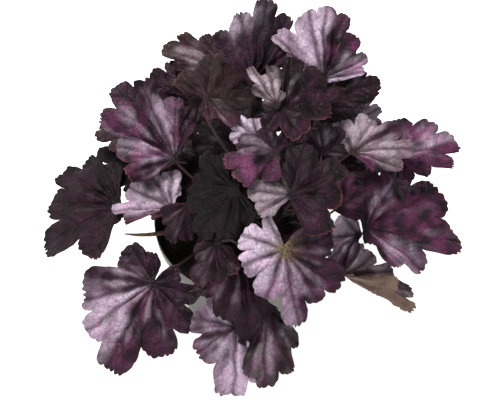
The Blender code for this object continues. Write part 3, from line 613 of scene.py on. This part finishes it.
def ring_faces(rings):
    """Triangles of a net of rings round a middle point."""
    starts = np.cumsum([1] + [len(ring[0]) for ring in rings])
    n = len(rings[0][0])
    faces = [(0, 1 + i, 1 + (i + 1) % n) for i in range(n)]
    for a, b, first_a, first_b in zip(rings, rings[1:], starts, starts[1:]):
        faces += band(a[0], b[0], first_a, first_b)
    return np.array(faces)


def blade_net(lobes):
    """Direction, radius, place across the lobe and ring share of a blade's points, and the triangles."""
    rings = [blade_ring(lobes, share, stops) for share, stops in RINGS]
    return *gathered(rings, [share for share, _ in RINGS]), ring_faces(rings)


def blade_form(angle, radius, across, share, length, arch, ruffle, flap, phase):
    """Points of a blade's middle surface in its own frame: x along the middle lobe."""
    x, y = radius * np.cos(angle), radius * np.sin(angle)
    along = x / length
    z = -arch * along ** 2 - CUP * y * y / length
    hub = np.clip(radius / HUB_RADIUS, 0, 1) ** 2
    edge = hub * np.clip((share - 0.25) / 0.75, 0, 1) ** 1.5
    z += ruffle * edge * (0.6 * np.sin(5 * angle + phase) + 0.5 * np.sin(9 * angle + 2.3 * phase))
    pleat = PLEAT * (1 + 0.6 * np.sin(2.2 * angle + 3.1 * phase))
    z += pleat * hub * np.sin(math.pi * share ** 0.8) * np.abs(across) ** 1.3
    if flap:
        over, turn = np.sqrt(y * y + 9.0) - 3.0, math.radians(flap)
        z = np.where(y < 0, z * math.cos(turn) + over * math.sin(turn), z)
        y = np.where(y < 0, -over * math.cos(turn), y)
    return np.stack([x, y, z], axis=1)


def blade_axes(joint, tip):
    """Unit axes of a blade: along the middle lobe, to its left, and up through it."""
    along = (tip - joint) / np.linalg.norm(tip - joint)
    up = np.array([0.0, 0.0, 1.0]) - along[2] * along
    up /= np.linalg.norm(up)
    return np.stack([along, np.cross(up, along), up])


def placed(row, index, angle, radius, across, share):
    """Points of a blade's middle surface where the blade stands, before it is settled."""
    number, _, joint, tip, arch, ruffle = row[:6]
    joint, tip = np.array(joint, float), np.array(tip, float)
    length = np.linalg.norm(tip - joint)
    flap, phase = FOLDS.get(number, 0), 1.7 * index
    form = blade_form(angle, radius, across, share, length, arch, ruffle, flap, phase)
    return joint + form @ blade_axes(joint, tip)


LAYER_AXES = np.array([[1.0, 0.0, 0.0],
                       [0.0, math.sin(LAYER_RISE), math.cos(LAYER_RISE)],
                       [0.0, -math.cos(LAYER_RISE), math.sin(LAYER_RISE)]])


def height_over(points, triangles):
    """Points that line up with a triangle in the layer direction, and how far it lies over each.

    All in layer axes.
    """
    a, b, c = triangles.swapaxes(0, 1)
    ab, ac = b - a, c - a
    area = ab[:, 0] * ac[:, 1] - ab[:, 1] * ac[:, 0]
    area = np.where(np.abs(area) < 1e-6, np.inf, area)
    dx = points[:, None, 0] - a[None, :, 0]
    dy = points[:, None, 1] - a[None, :, 1]
    wb = (dx * ac[:, 1] - dy * ac[:, 0]) / area
    wc = (ab[:, 0] * dy - ab[:, 1] * dx) / area
    p, t = np.nonzero((wb >= 0) & (wc >= 0) & (wb + wc <= 1))
    wb, wc = wb[p, t], wc[p, t]
    height = a[t, 2] + wb * ab[t, 2] + wc * ac[t, 2]
    return p, height - points[p, 2]


def sample(points, faces):
    """Corners, side middles and centres of a net."""
    tri = points[faces]
    return np.concatenate([points, (tri + np.roll(tri, 1, axis=1)).reshape(-1, 3) / 2, tri.mean(axis=1)])


def settle(points, faces, below):
    """A blade's points, lifted until it lies over the layers below it."""
    own = points @ LAYER_AXES.T
    if not below:
        return points
    old_tri = np.concatenate([p[f] for p, f in below])
    old_pts = np.concatenate([sample(p, f) for p, f in below])
    lift = np.zeros(len(own))
    for _ in range(LAYER_PASSES):
        now = own + np.outer(lift, (0, 0, 1))
        marks = sample(now, faces)
        p, drop = height_over(marks, old_tri)
        spots, needs = marks[p], drop + LAYER_GAP
        p, drop = height_over(old_pts, now[faces])
        spots = np.concatenate([spots, old_pts[p]])
        needs = np.concatenate([needs, LAYER_GAP - drop])
        short = needs > 0.02
        if not short.any():
            break
        away = np.hypot(now[:, None, 0] - spots[None, short, 0], now[:, None, 1] - spots[None, short, 1])
        more = (needs[short][None, :] * 1.02 - LAYER_SLOPE * np.maximum(away - 6.0, 0)).max(axis=1)
        lift += np.maximum(more, 0)
    return (own + np.outer(lift, (0, 0, 1))) @ LAYER_AXES


def point_normals(points, faces):
    tri = points[faces]
    flat = np.cross(tri[:, 1] - tri[:, 0], tri[:, 2] - tri[:, 0])
    normals = np.zeros_like(points)
    for corner in range(3):
        np.add.at(normals, faces[:, corner], flat)
    return unit(normals)


# Blades: the fine net

def fine_ring(lobes, share, spacing):
    """Direction, radius, place across the lobe and lobe number along one ring of the fine net."""
    at, cuts, reach = lobe_layout(lobes)
    ring = [(cuts[0], reach[0] * share, -1.0, -0.5)]
    for k, lobe in enumerate(lobes):
        for sign in (-1, 1):
            side, cut = (cuts[k], reach[k]) if sign < 0 else (cuts[k + 1], reach[k + 1])
            arc = math.hypot(lobe[1] - cut, (side - at[k]) * (lobe[1] + cut) / 2)
            count = max(1, round(arc * share / spacing))
            waves = max(1, round(arc / SCALLOP_WIDTH)) + 0.5
            wobble = 0.16 * math.sin(5.1 * k + 2.3 * sign + lobe[0])
            places = [i / count for i in range(count + 1)]
            places = places[:-1][::-1] if sign < 0 else places[1:]
            for u in places:
                radius = cut + (lobe[1] - cut) * (1 - u ** LOBE_BLUNT)
                scallop = abs(math.cos(math.pi * waves * (u + wobble * math.sin(math.pi * u)))) ** 0.75
                depth = min(SCALLOP_DEPTH, 0.12 * arc) * share ** 12 * (1 + 0.5 * math.sin(9 * u + 3 * k))
                radius = radius * share - depth * (1 - scallop) * (1 - 0.4 * u)
                ring.append((at[k] + u * (side - at[k]), radius, sign * u, k + 0.5 * sign * u))
    first, last = (reach[i] * np.array([math.cos(cuts[i]), math.sin(cuts[i])]) for i in (0, -1))
    sinus = np.array([-SINUS_RADIUS, 0.0])
    for begin, end, across, lobe in ((last, sinus, 1.0, len(lobes) - 0.5), (sinus, first, -1.0, -0.5)):
        count = max(1, round(np.linalg.norm(end - begin) * share / spacing))
        for i in range(1, count + (across > 0)):
            x, y = begin + (end - begin) * i / count
            angle = math.atan2(y, x)
            if angle < ring[-1][0] - 1e-9:
                angle += 2 * math.pi
            ring.append((angle, math.hypot(x, y) * share, across, lobe))
    return [np.array(column) for column in zip(*ring)]


def fine_net(lobes, spacing):
    """Direction, radius, place across the lobe, lobe number and ring share, and the triangles."""
    count = max(8, round(0.82 * max(lobe[1] for lobe in lobes) / spacing))
    shares = [(i + 1) / count for i in range(count)]
    rings = [fine_ring(lobes, s, spacing) for s in shares]
    return *gathered(rings, shares), ring_faces(rings)


def spread(at, value, to, soft=60.0):
    """Thin plate through values given at scattered flat points, read at other points."""
    def kernel(a, b):
        square = ((a[:, None] - b[None]) ** 2).sum(axis=2)
        return square * np.log(square + 1e-9)
    ones = np.column_stack([np.ones(len(at)), at])
    system = np.block([[kernel(at, at) + soft * np.eye(len(at)), ones], [ones.T, np.zeros((3, 3))]])
    weights = np.linalg.solve(system, np.concatenate([value, np.zeros(3)]))
    return kernel(to, at) @ weights[:-3] + np.column_stack([np.ones(len(to)), to]) @ weights[-3:]


def flat_points(angle, radius):
    return np.stack([radius * np.cos(angle), radius * np.sin(angle)], axis=1)


def at_depth(flat, depth):
    """Flat points as places in a solid noise, where each blade has a depth of its own."""
    return np.column_stack([flat, np.broadcast_to(depth, len(flat))])


def vein_places(flat, lobes):
    """Distance from the nearest main vein, and place along its side veins (in steps)."""
    at = np.radians([lobe[0] for lobe in lobes])
    angle = np.arctan2(flat[:, 1], flat[:, 0])
    away = np.abs((angle[:, None] - at[None] + math.pi) % (2 * math.pi) - math.pi)
    near, radius = away.min(axis=1), np.hypot(*flat.T)
    from_vein = radius * np.sin(np.minimum(near, math.pi / 2))
    return from_vein, (radius * np.cos(near) - SIDE_VEIN_LEAN * from_vein) / SIDE_VEIN_STEP


def lay_net(index, number, lobes):
    """The fine net of one blade, its points wandering a little, with its veins and noises."""
    spacing = HIDDEN_STEP if number in HIDDEN else NET_STEP
    angle, radius, across, lobe, share, faces = fine_net(lobes, spacing)
    flat = flat_points(angle, radius)
    sway = np.column_stack([drift(at_depth(flat, 40.0 + 9 * index), SWAY_WAVE, index + seed)
                            for seed in (5, 6)])
    flat = flat + NET_WANDER * sway * (step(radius, *SWAY_FADE) * (share > 0.02))[:, None]
    angle = angle + (np.arctan2(flat[:, 1], flat[:, 0]) - angle + math.pi) % (2 * math.pi) - math.pi
    radius = np.hypot(*flat.T)
    swayed = flat - VEIN_WANDER * sway[:, ::-1] * step(radius, *SWAY_FADE)[:, None]
    from_vein, rib = vein_places(swayed, lobes)
    deep = at_depth(flat, 9.0 * index)
    return SimpleNamespace(
        angle=angle, radius=radius, across=across, lobe=lobe, share=share, faces=faces, flat=flat,
        from_vein=from_vein, rib=rib, deep=deep,
        broad=drift(deep, BROAD_WAVE, index), small=drift(deep, SMALL_WAVE, index + 50))


def relief(net, index):
    """Height over the plain surface: veins sunk, panels blistered, margin ruffled."""
    body = step(net.radius, 2.0, 12.0)
    fade = 1 - 0.75 * net.share
    to_side = np.abs(net.rib - np.round(net.rib)) * SIDE_VEIN_STEP * SIDE_VEIN_ACROSS
    width = MAIN_VEIN_WIDTH * (0.45 + fade)
    height = -MAIN_VEIN_SINK * np.exp(-(net.from_vein / width) ** 2) * body * (0.35 + fade)
    side = np.exp(-(to_side / SIDE_VEIN_WIDTH) ** 2) * body * step(net.from_vein, 0.5, 2.5)
    height -= SIDE_VEIN_SINK * side
    panel = body * step(net.from_vein, 0.8, 3.5) * step(to_side, 0.3, 2.2)
    height += BLISTER * (net.small * 0.9 + 0.35) * panel
    height += CRUMPLE * net.broad * step(net.share, 0.1, 0.7) * body
    wave = drift(at_depth(flat_points(net.angle, 3.2), 2.0 * index), 0.55, index + 90)
    return height + RUFFLE * wave * net.share ** 5 * body


def closed_skin(net, middle):
    """Points and faces of a blade round its middle surface, with ribs below the main veins."""
    normals = point_normals(middle, net.faces)
    thick = BLADE_THICK + (RIM_THICK - BLADE_THICK) * net.share ** 6
    rib = RIB * np.exp(-(net.from_vein / RIB_WIDTH) ** 2) * (1 - net.share) ** 0.7
    rib *= step(net.share, -0.05, 0.02)
    top = middle + normals * (thick / 2)[:, None]
    bottom = middle - normals * (thick / 2 + rib)[:, None]
    n = len(middle)
    faces = net.faces.tolist() + (net.faces[:, ::-1] + n).tolist()
    rim = np.nonzero(net.share == 1.0)[0]
    for i, j in zip(rim, np.roll(rim, -1)):
        faces += [(i, i + n, j + n), (i, j + n, j)]
    return np.concatenate([top, bottom]), faces


def by_lobe(digits, lobe):
    """Strength from 0 to 1 at each point, between the digits of the lobes on either side."""
    return np.interp(lobe, np.arange(len(digits)), [int(c) / 9 for c in digits])


def markings(net, index, number, silver_and_sheen, reddish):
    """The blade's bloom with painted sheen, flush, pink edge, tan hub and painted shade, each from 0 to 1.
    """
    soft_lobe = net.lobe + 0.2 * net.broad
    pinkish = PINK_EDGES.get(number, "1" * len(silver_and_sheen))
    silver_and_sheen, reddish, pinkish = (by_lobe(digits, soft_lobe) for digits in (silver_and_sheen, reddish, pinkish))

    # bloom, real silvering mixed with painted sheen and highlights where lobes face the light, runs in
    # streaks from the hub, fills the panels between veins and thins to the margin
    streak = drift(np.column_stack([flat_points(net.angle, 5.0), net.radius / 40]), 1.0, index + 130)
    streak = 1.2 * streak + 0.9 * drift(net.deep, 12.0, index + 160) + 0.3 * net.small
    streak = streak * (1.2 - 0.8 * silver_and_sheen) + 1.7 * (silver_and_sheen - 0.62)
    panel = (0.35 + 0.65 * step(net.from_vein, 0.3, 4.0)) * step(net.radius, 1.0, 9.0)
    margin = 1 - 0.85 * step(net.share + 0.10 * net.small + 0.14 * net.broad, 0.66, 0.94)
    margin = margin + (1 - margin) * silver_and_sheen ** 3
    if number in OUTER_BLOOM_AND_SHEEN:
        margin = 0.04 + 0.96 * step(net.share + 0.10 * net.broad, 0.6, 0.93)
    bloom_and_sheen = silver_and_sheen ** 1.25 * step(streak, -0.55, 0.6) * panel * margin

    flush = reddish ** 1.3 * step(drift(net.deep, 13.0, index + 20), -0.45, 0.4) * step(net.radius, 3, 12)
    flush = flush * (1 - 0.6 * step(net.share + 0.1 * net.small, 0.85, 1.0))
    edge = pinkish * step(net.share + 0.03 * net.small, 0.945, 0.995)
    tan = TAN_HUBS.get(number, 0.0) * np.exp(-(net.radius / TAN_RADIUS) ** 2) * (1 + net.small)
    # painted shade, one strength for the whole leaf
    painted_shade = np.full(len(tan), PAINTED_SHADE_BY_LEAF.get(number, 0.0))
    kinds = {"bloom_and_sheen": bloom_and_sheen, "flush": flush, "edge": edge, "tan": tan, "painted_shade": painted_shade}
    return {kind: np.clip(values, 0, 1) for kind, values in kinds.items()}


def fine_leaf(index, row, coarse_flat, lift, mat):
    """One blade: a closed skin with sunken veins, blisters, scalloped margin and markings."""
    number, tint, _, _, _, _, silver_and_sheen, reddish, lobes = row
    net = lay_net(index, number, lobes)
    points = placed(row, index, net.angle, net.radius, net.across, net.share)
    points = points + np.outer(spread(coarse_flat, lift, net.flat), LAYER_AXES[2])
    middle = points + point_normals(points, net.faces) * relief(net, index)[:, None]
    skin, faces = closed_skin(net, middle)
    obj = new_piece(f"blade_{number:02d}", skin, faces, mat, f"leaf_{number:02d}")

    marks = markings(net, index, number, silver_and_sheen, reddish)
    for kind, values in {**marks, "vein": net.from_vein, "rib": net.rib, "span": net.share}.items():
        give(obj, kind, np.tile(values, 2))
    give(obj, "under", np.repeat([0.0, 1.0], len(middle)))
    rim = np.where(net.share == 1.0, 1, 0)
    hard_edges(obj, np.concatenate([rim, 2 * rim]))
    give_uv(obj, (net.flat + BLADE_SHIFT * index) / BLADE_UNIT)


def make_leaves():
    """Settles the coarse blades as the part does, then dresses each with its fine one."""
    mats = {tint: leaf_material(tint) for tint in TINTS}
    below = []
    for index, row in enumerate(LEAVES):
        angle, radius, across, share, faces = blade_net(row[-1])
        points = placed(row, index, angle, radius, across, share)
        settled = settle(points, faces, below)
        below.append((settled @ LAYER_AXES.T, faces))
        lift = ((settled - points) @ LAYER_AXES.T)[:, 2]
        fine_leaf(index, row, flat_points(angle, radius), lift, mats[row[1]])


# Pot, potting mix and stalks

def wall_radius(height):
    """Outside radius of the pot's plain wall."""
    return BASE_RADIUS + height / STEP_AT * (RIM_RADIUS - LIP_STEP - 1.0 - BASE_RADIUS)


def turned(profile, sides):
    """Points and faces of a closed solid of revolution; a profile point on the axis is a pole."""
    points, rows, faces = [], [], []
    turns = [2 * math.pi * i / sides for i in range(sides)]
    for radius, height in profile:
        if radius == 0:
            rows.append([len(points)] * sides)
            points.append((0.0, 0.0, height))
        else:
            rows.append(list(range(len(points), len(points) + sides)))
            points += [(radius * math.cos(a), radius * math.sin(a), height) for a in turns]
    for low, high in zip(rows, rows[1:]):
        for i in range(sides):
            j = (i + 1) % sides
            corners = list(dict.fromkeys((low[i], low[j], high[j], high[i])))
            if len(corners) > 2:
                faces.append(corners)
    return np.array(points), faces


def pot_profile():
    """Half section of the pot: the underside with its foot ring, the wall, the lip, the inside."""
    foot = [(0, FOOT_HEIGHT), (BASE_RADIUS - 8, FOOT_HEIGHT), (BASE_RADIUS - 6, 0.0),
            (BASE_RADIUS - 0.8, 0.0), (BASE_RADIUS, 0.8)]
    wall = [(wall_radius(h), h) for h in np.linspace(6, STEP_AT - 1.0, 14)]
    wall.append((wall_radius(STEP_AT) + 0.5, STEP_AT - 0.1))
    lip = [(RIM_RADIUS - inward, height) for inward, height in (
        (1.5, STEP_AT + 0.5), (0.9, STEP_AT + 1.2), (0.5, POT_HEIGHT - 5), (0.1, POT_HEIGHT - 1.5),
        (0, POT_HEIGHT - 0.7), (0.4, POT_HEIGHT), (POT_WALL - 0.2, POT_HEIGHT),
        (POT_WALL + 0.1, POT_HEIGHT - 0.8), (POT_WALL + 1.0, STEP_AT + 2.4))]
    inside = [(wall_radius(STEP_AT) - POT_WALL, STEP_AT + 1.2)]
    inside += [(wall_radius(h) - POT_WALL, h) for h in np.linspace(STEP_AT - 4, BASE_THICK + 1, 10)]
    bottom = [(wall_radius(BASE_THICK) - POT_WALL - 1, BASE_THICK), (0, BASE_THICK)]
    return foot + wall + lip + inside + bottom


def cut_drain_hole(pot, turn):
    """Takes one round hole out of the pot's base, in a direction round its axis."""
    ring, sides = turned([(0, -2), (DRAIN_RADIUS, -2), (DRAIN_RADIUS, 4), (0, 4)], 32)
    ring = ring + (DRAIN_CIRCLE * math.cos(turn), DRAIN_CIRCLE * math.sin(turn), 0)
    cutter = new_object("drain", new_mesh("drain", ring, [f[::-1] for f in sides]))
    hole = pot.modifiers.new("hole", "BOOLEAN")
    hole.operation, hole.solver, hole.object = "DIFFERENCE", "EXACT", cutter
    pot.data = evaluated_mesh(pot)
    pot.modifiers.clear()
    bpy.data.objects.remove(cutter, do_unlink=True)


def make_pot():
    """Pot with a rolled lip, a step below it, a raised foot ring and drain holes."""
    points, faces = turned(pot_profile(), POT_SIDES)
    pot = new_piece("pot_shell", points, faces, pot_material(), "pot")
    for i in range(DRAIN_HOLES):
        cut_drain_hole(pot, 2 * math.pi * (i + 0.5) / DRAIN_HOLES)
    x, y, height = (point_values(pot.data, "co") / MM).T
    radius = np.hypot(x, y)
    wall = np.interp(height, [0, STEP_AT, STEP_AT + 1.0, POT_HEIGHT],
                     [BASE_RADIUS, wall_radius(STEP_AT), RIM_RADIUS - 1, RIM_RADIUS])
    below_lip = (radius < RIM_RADIUS - POT_WALL) & (height < POT_HEIGHT - 0.1)
    give(pot, "inside", (radius < wall - 0.55) & (height > 1.5))
    # top of the rim, which takes the painted highlight
    give(pot, "lip", (height > POT_HEIGHT - 0.75) & ~below_lip)
    pot.data.set_sharp_from_angle(angle=math.radians(50))


def make_soil():
    """Potting mix: crumbly top between the crown and the pot wall, plain below."""
    hole = CROWN_RADIUS + GAP
    edge = wall_radius(SOIL_TOP) - POT_WALL - GAP
    bottom = BASE_THICK + GAP
    profile = [(0, bottom), (wall_radius(bottom) - POT_WALL - GAP - 0.3, bottom), (edge - 0.4, SOIL_TOP - 4)]
    for i in range(SOIL_RINGS):
        share = i / (SOIL_RINGS - 1)
        profile.append((hole + (edge - hole) * (1 - share), SOIL_TOP - 0.5 + SOIL_DOME * share))
    profile += [(hole, SOIL_TOP - CROWN_DEPTH - GAP), (0, SOIL_TOP - CROWN_DEPTH - GAP)]
    points, faces = turned(profile, SOIL_SIDES)
    radius = np.hypot(points[:, 0], points[:, 1])
    loose = (points[:, 2] > SOIL_TOP - 1.0) & (radius > hole + 0.5) & (radius < edge - 0.5)
    points[loose, 2] += sum(drift(points[loose], wave, seed) * tall
                            for seed, (wave, tall) in enumerate(((9.0, 1.7), (3.2, 1.3), (1.4, 0.6)), 1))
    points[loose, 0] += drift(points[loose], 2.2, 4) * 0.5
    points[loose, 1] += drift(points[loose], 2.2, 5) * 0.5
    mat = grain_material("potting_mix", SOIL_TONES, 260.0, 0.88, 0.0012)
    new_piece("soil_crumbs", points, faces, mat, "soil")


def make_stalks():
    """The crown and all stalks as one smooth skin, taken from the part's own solid, with hairs."""
    skin = new_object("skin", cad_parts["crown_and_stalks"].data.copy())
    remesh = skin.modifiers.new("skin", "REMESH")
    remesh.mode, remesh.voxel_size = "VOXEL", STALK_VOXEL * MM
    smooth = skin.modifiers.new("smooth", "SMOOTH")
    smooth.factor, smooth.iterations = 0.5, 3
    mesh = evaluated_mesh(skin)
    bpy.data.objects.remove(skin, do_unlink=True)
    points, normals = point_values(mesh, "co") / MM, point_values(mesh, "normal")
    faces = [tuple(p.vertices) for p in mesh.polygons]
    radius = np.hypot(points[:, 0], points[:, 1])
    rough = (points[:, 2] < CROWN_TOP + 2) & (radius < CROWN_RADIUS + 3) & (points[:, 2] > SOIL_TOP)
    swell = 0.18 + 0.1 * drift(points, 3.0, 8) + np.where(rough, 0.9, 0) * drift(points, 4.0, 9)
    points = points + normals * swell[:, None]
    mat = grain_material("stalk_skin", STALK_TONES, 120.0, 0.5, 0.0003, strength=0.4, along=0.3)
    new_piece("stalk_skin", points, faces, mat, "crown_and_stalks")
    make_hairs(points, faces, normals)


def make_hairs(points, faces, normals):
    """Short pale hairs on the stalks, each a slim three-sided cone."""
    rng = np.random.default_rng(5)
    corners = np.array([f[:3] for f in faces])
    middle = points[corners].mean(axis=1)
    good = np.nonzero(middle[:, 2] > CROWN_TOP)[0]
    chosen = rng.choice(good, HAIR_COUNT)
    root = middle[chosen]
    out = unit(normals[corners[chosen]].mean(axis=1) + rng.normal(0, 0.35, (HAIR_COUNT, 3)))
    side = unit(np.cross(out, rng.normal(0, 1, (HAIR_COUNT, 3))))
    other = np.cross(out, side)
    tall = rng.uniform(*HAIR_LENGTH, HAIR_COUNT)[:, None]
    verts = [root - 0.2 * out + HAIR_RADIUS * (math.cos(a) * side + math.sin(a) * other)
             for a in (0, 2 * math.pi / 3, 4 * math.pi / 3)] + [root + out * tall]
    verts = np.stack(verts, axis=1).reshape(-1, 3)
    base = np.arange(HAIR_COUNT)[:, None] * 4
    tris = np.concatenate([base + t for t in ((0, 1, 3), (1, 2, 3), (2, 0, 3), (2, 1, 0))])
    mat = grain_material("stalk_hairs", HAIR_TONES, 300.0, 0.6, 0.0001, strength=0.1)
    new_piece("stalk_hairs", verts, tris, mat)


def curve_at(route, place):
    """Point and unit direction of a smooth curve through a route's points."""
    padded = [2 * route[0] - route[1]] + route + [2 * route[-1] - route[-2]]
    k = min(int(place), len(route) - 2)
    u = place - k
    a, b, c, d = padded[k:k + 4]
    square, cube = 2 * a - 5 * b + 4 * c - d, 3 * b - a - 3 * c + d
    here = 0.5 * (2 * b + (c - a) * u + square * u * u + cube * u ** 3)
    ahead = 0.5 * ((c - a) + 2 * square * u + 3 * cube * u * u)
    return here, ahead / np.linalg.norm(ahead)


def make_withered():
    """Dry flower stalk over the rim, twisted and grooved, tapering to a broken tip."""
    route = [np.array(p, float) for p in WITHERED_ROUTE]
    sides, points, faces = WITHERED_SIDES, [], []
    for i, place in enumerate(np.linspace(0, len(route) - 1, WITHERED_STEPS)):
        here, ahead = curve_at(route, place)
        side = np.cross(ahead, (0, 0, 1.0))
        side /= np.linalg.norm(side)
        up = np.cross(side, ahead)
        size = np.interp(place, range(len(route)), WITHERED_RADIUS)
        for s in range(sides):
            turn = 2 * math.pi * s / sides
            bark = noise.noise(Vector((i * 0.18, math.cos(turn), math.sin(turn))))
            groove = 1 - 0.13 * abs(math.sin(2.5 * turn + 0.09 * i)) + 0.08 * bark
            points.append(here + size * groove * (math.cos(turn) * side + 0.8 * math.sin(turn) * up))
    for i in range(WITHERED_STEPS - 1):
        for s in range(sides):
            n = (s + 1) % sides
            faces.append((i * sides + s, i * sides + n, (i + 1) * sides + n, (i + 1) * sides + s))
    last = (WITHERED_STEPS - 1) * sides
    faces += [tuple(range(sides))[::-1], tuple(range(last, last + sides))]
    mat = grain_material("dry_stalk", DRY_TONES, 160.0, 0.8, 0.0005)
    new_piece("dry_stalk", points, [f[::-1] for f in faces], mat, "withered_stalk")


for make in (place_camera, light_studio, make_leaves, make_pot, make_soil, make_stalks, make_withered):
    make()
